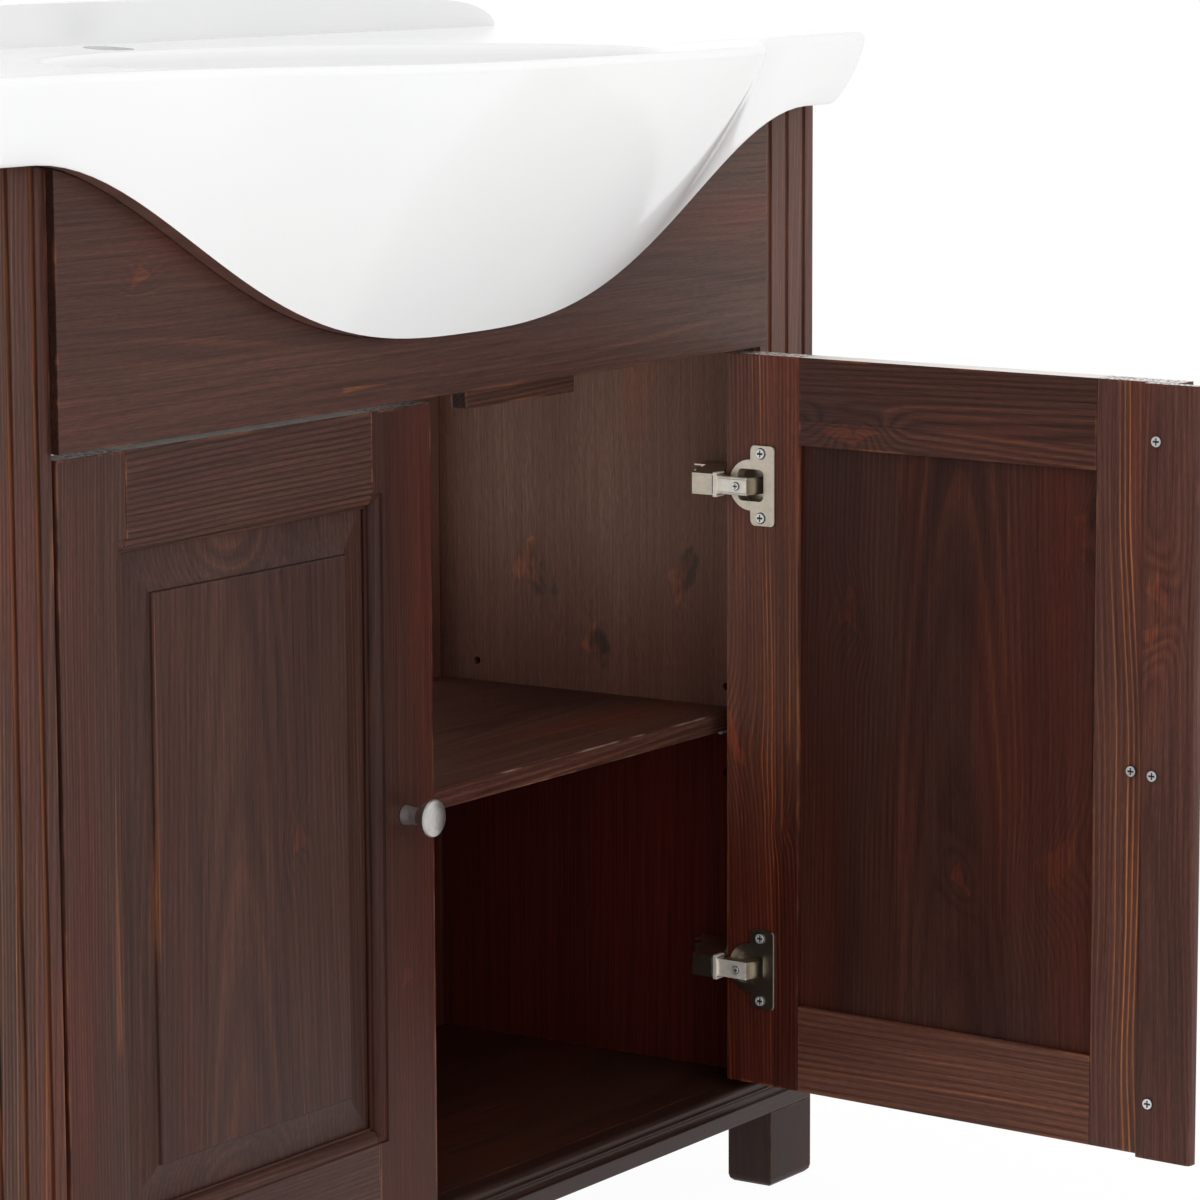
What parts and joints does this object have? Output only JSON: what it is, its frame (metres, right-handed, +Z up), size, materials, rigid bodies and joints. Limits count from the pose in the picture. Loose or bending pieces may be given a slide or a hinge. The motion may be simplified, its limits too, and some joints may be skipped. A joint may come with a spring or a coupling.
{
  "type": "vanity unit",
  "caption": "Free-standing stained pine bathroom vanity with fluted pilasters, raised-panel doors, an open upper back and a bow-fronted white ceramic basin; one door shown open.",
  "frame": {"origin": "on the floor, under the centre of the box around the unit with its right door open as at rest", "axes": "+X to the right along the front, +Y to the wall behind, +Z up"},
  "size_m": [0.988, 0.7046, 0.8785],
  "materials": {
    "stained_pine": "walnut-brown stain under satin lacquer",
    "glazed_ceramic": "gloss glaze",
    "nickel_plated_steel": "nickel plating",
    "zinc_plated_steel": "zinc plating"
  },
  "bodies": {
    "cabinet": {"basin": "glazed_ceramic", "front_apron": "stained_pine", "plinth_rail": "stained_pine", "bottom_board": "stained_pine", "shelf": "stained_pine", "back_top_rail": "stained_pine", "back_bottom_panel": "stained_pine", "left_pilaster": "stained_pine", "right_pilaster": "stained_pine", "left_side_panel": "stained_pine", "right_side_panel": "stained_pine", "left_side_lining": "stained_pine", "right_side_lining": "stained_pine", "front_left_leg": "stained_pine", "front_right_leg": "stained_pine", "rear_left_leg": "stained_pine", "rear_right_leg": "stained_pine", "left_front_shelf_peg": "zinc_plated_steel", "left_rear_shelf_peg": "zinc_plated_steel", "right_front_shelf_peg": "zinc_plated_steel", "right_rear_shelf_peg": "zinc_plated_steel", "door_stop": "stained_pine", "left_upper_hinge_arm": "nickel_plated_steel", "left_upper_hinge_plate": "nickel_plated_steel", "left_lower_hinge_arm": "nickel_plated_steel", "left_lower_hinge_plate": "nickel_plated_steel", "right_upper_hinge_arm": "nickel_plated_steel", "right_upper_hinge_plate": "nickel_plated_steel", "right_lower_hinge_arm": "nickel_plated_steel", "right_lower_hinge_plate": "nickel_plated_steel"},
    "left_door": {"left_door_hinge_stile": "stained_pine", "left_door_free_stile": "stained_pine", "left_door_top_rail": "stained_pine", "left_door_bottom_rail": "stained_pine", "left_door_panel": "stained_pine", "left_knob": "nickel_plated_steel", "left_knob_screw": "zinc_plated_steel", "left_upper_hinge_cup": "nickel_plated_steel", "left_lower_hinge_cup": "nickel_plated_steel"},
    "right_door": {"right_door_hinge_stile": "stained_pine", "right_door_free_stile": "stained_pine", "right_door_top_rail": "stained_pine", "right_door_bottom_rail": "stained_pine", "right_door_panel": "stained_pine", "right_knob": "nickel_plated_steel", "right_knob_screw": "zinc_plated_steel", "right_upper_hinge_cup": "nickel_plated_steel", "right_lower_hinge_cup": "nickel_plated_steel", "right_door_stop_strip": "stained_pine", "strip_screw_upper": "zinc_plated_steel", "strip_screw_middle": "zinc_plated_steel", "strip_screw_lower": "zinc_plated_steel"}
  },
  "joints": [
    {"name": "left_door_hinge", "type": "hinge", "parent": "cabinet", "child": "left_door", "pos_m": [-0.382, 0.03583, 0.356], "axis": [0, 0, -1], "range_deg": [0, 105]},
    {"name": "right_door_hinge", "type": "hinge", "parent": "cabinet", "child": "right_door", "pos_m": [0.382, 0.03583, 0.356], "axis": [0, 0, 1], "range_deg": [-86, 19]}
  ]
}
